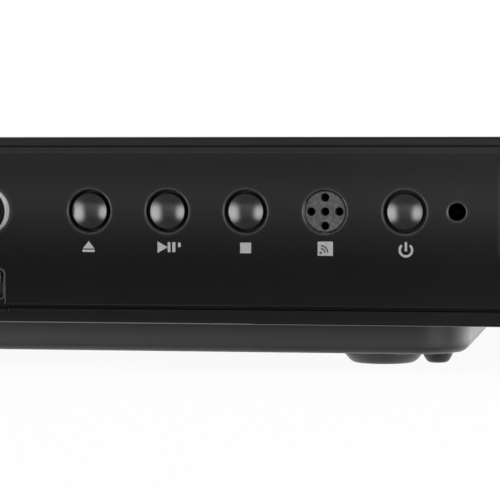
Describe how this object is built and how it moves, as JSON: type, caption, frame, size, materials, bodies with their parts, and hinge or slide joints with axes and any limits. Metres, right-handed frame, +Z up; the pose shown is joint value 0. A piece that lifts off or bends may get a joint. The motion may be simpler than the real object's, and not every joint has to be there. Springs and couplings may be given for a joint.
{
  "type": "dvd player",
  "caption": "Compact black disc player with a loading drawer, domed front buttons, a microphone socket and rear sockets",
  "frame": {"origin": "on the table under the middle of the outline", "axes": "+X to the right seen from the front, +Y to the back, +Z up"},
  "size_m": [0.26, 0.2074, 0.0424],
  "materials": {
    "gloss_black": "polished piano black moulding",
    "button_black": "polished black moulding",
    "case_black": "satin black moulding",
    "foot_grey": "dark grey moulded foot",
    "rubber_black": "soft black rubber",
    "grille_grey": "fine grained dark grey moulding",
    "lamp_smoke": "dark tinted clear plastic",
    "nickel": "bright nickel plating",
    "steel_dark": "dark plated steel",
    "steel_bright": "plain steel",
    "steel_black": "fine textured black paint on sheet steel",
    "socket_black": "black moulding",
    "brass_pins": "plain brass",
    "board_green": "green solder mask on laminate",
    "board_tan": "tan laminate",
    "chip_black": "black chip packages",
    "can_blue": "dark blue sleeve",
    "winding_amber": "amber tape and dark core",
    "ribbon_white": "white flat cable",
    "insert_yellow": "yellow moulding",
    "insert_white": "white moulding",
    "insert_red": "red moulding",
    "loader_grey": "dark grey moulding",
    "tray_black": "fine grained black moulding",
    "acetal_white": "natural white moulding",
    "deck_grey": "cast grey metal",
    "turntable_black": "black moulding with a soft seat",
    "lens_glass": "coated lens in a ring"
  },
  "bodies": {
    "case": {"front_bezel": "gloss_black", "front_panel": "gloss_black", "tact_switches": "socket_black", "front_board": "board_green", "ir_grille": "grille_grey", "ir_receiver": "lamp_smoke", "power_led": "lamp_smoke", "mic_collar": "button_black", "mic_jack": "socket_black", "usb_socket": "steel_dark", "usb_tongue": "socket_black", "base": "case_black", "top_cover": "steel_black", "rear_panel": "steel_black", "feet": "foot_grey", "bumpers": "rubber_black", "cover_screws": "steel_black", "inner_screws": "steel_bright", "main_board": "board_green", "board_chips": "chip_black", "power_board": "board_tan", "transformer": "winding_amber", "capacitors": "can_blue", "ribbon_cable": "ribbon_white", "rca_block": "socket_black", "rca_sleeves": "nickel", "rca_video": "insert_yellow", "rca_left": "insert_white", "rca_right": "insert_red", "hdmi_socket": "steel_bright", "hdmi_tongue": "socket_black", "mains_inlet": "socket_black", "mains_pins": "brass_pins", "loader_frame": "loader_grey", "loading_motor": "steel_bright", "drive_belt": "rubber_black", "clamp_bridge": "steel_bright"},
    "tray": {"disc_tray": "tray_black", "tray_door": "gloss_black"},
    "tray_gear": {"tray_gear": "acetal_white"},
    "pulley_gear": {"pulley_gear": "acetal_white"},
    "motor_pulley": {"motor_pulley": "acetal_white"},
    "cam": {"cam_slider": "acetal_white"},
    "deck": {"deck": "deck_grey", "spindle_motor": "steel_bright", "guide_rods": "steel_bright", "sled_motor": "steel_bright"},
    "turntable": {"turntable": "turntable_black"},
    "sled": {"pickup": "deck_grey", "pickup_lens": "lens_glass"},
    "lead_screw": {"lead_screw": "steel_bright"},
    "clamp": {"clamp_puck": "acetal_white"},
    "eject": {"button_eject": "button_black", "plunger_eject": "acetal_white"},
    "play": {"button_play": "button_black", "plunger_play": "acetal_white"},
    "stop": {"button_stop": "button_black", "plunger_stop": "acetal_white"},
    "power": {"button_power": "button_black", "plunger_power": "acetal_white"}
  },
  "joints": [
    {"name": "tray_slide", "type": "slide", "parent": "case", "child": "tray", "axis": [0, -1, 0], "range_m": [0, 0.132]},
    {"name": "tray_gear_spin", "type": "hinge", "parent": "case", "child": "tray_gear", "pos_m": [-0.0075, -0.07525, 0.024], "axis": [0, 0, 1], "range_deg": [-631, 0]},
    {"name": "pulley_gear_spin", "type": "hinge", "parent": "case", "child": "pulley_gear", "pos_m": [-0.02733, -0.07264, 0.02], "axis": [0, 0, 1], "range_deg": [0, 946]},
    {"name": "motor_pulley_spin", "type": "hinge", "parent": "case", "child": "motor_pulley", "pos_m": [-0.06133, -0.07464, 0.02], "axis": [0, 0, 1], "range_deg": [0, 3198]},
    {"name": "deck_lift", "type": "hinge", "parent": "case", "child": "deck", "pos_m": [-0.049, 0.04955, 0.019], "axis": [-1, 0, 0], "range_deg": [0, 5]},
    {"name": "cam_slide", "type": "slide", "parent": "case", "child": "cam", "axis": [1, 0, 0], "range_m": [0, 0.01801]},
    {"name": "turntable_spin", "type": "hinge", "parent": "deck", "child": "turntable", "pos_m": [-0.049, -0.02839, 0.0172], "axis": [0, -0.0872, 0.9962], "continuous": true},
    {"name": "sled_slide", "type": "slide", "parent": "deck", "child": "sled", "axis": [0, 0.9962, 0.0872], "range_m": [0, 0.033]},
    {"name": "lead_screw_spin", "type": "hinge", "parent": "deck", "child": "lead_screw", "pos_m": [-0.083, 0.00024, 0.01117], "axis": [0, 0.9962, 0.0872], "range_deg": [0, 3961]},
    {"name": "clamp_spin", "type": "hinge", "parent": "case", "child": "clamp", "pos_m": [-0.049, -0.02825, 0.034], "axis": [0, 0, 1], "continuous": true},
    {"name": "eject_press", "type": "slide", "parent": "case", "child": "eject", "axis": [0, 1, 0], "range_m": [0, 0.0007], "stiffness_N_per_m": 400},
    {"name": "play_press", "type": "slide", "parent": "case", "child": "play", "axis": [0, 1, 0], "range_m": [0, 0.0007], "stiffness_N_per_m": 400},
    {"name": "stop_press", "type": "slide", "parent": "case", "child": "stop", "axis": [0, 1, 0], "range_m": [0, 0.0007], "stiffness_N_per_m": 400},
    {"name": "power_press", "type": "slide", "parent": "case", "child": "power", "axis": [0, 1, 0], "range_m": [0, 0.0007], "stiffness_N_per_m": 400}
  ],
  "couplings": [
    {"joint": "tray_gear_spin", "follows": "tray_slide", "rad_per_m": -83.333},
    {"joint": "pulley_gear_spin", "follows": "tray_slide", "rad_per_m": 125},
    {"joint": "motor_pulley_spin", "follows": "tray_slide", "rad_per_m": 422.62},
    {"joint": "cam_slide", "follows": "deck_lift", "m_per_rad": 0.20626},
    {"joint": "lead_screw_spin", "follows": "sled_slide", "rad_per_m": 2094.4}
  ]
}
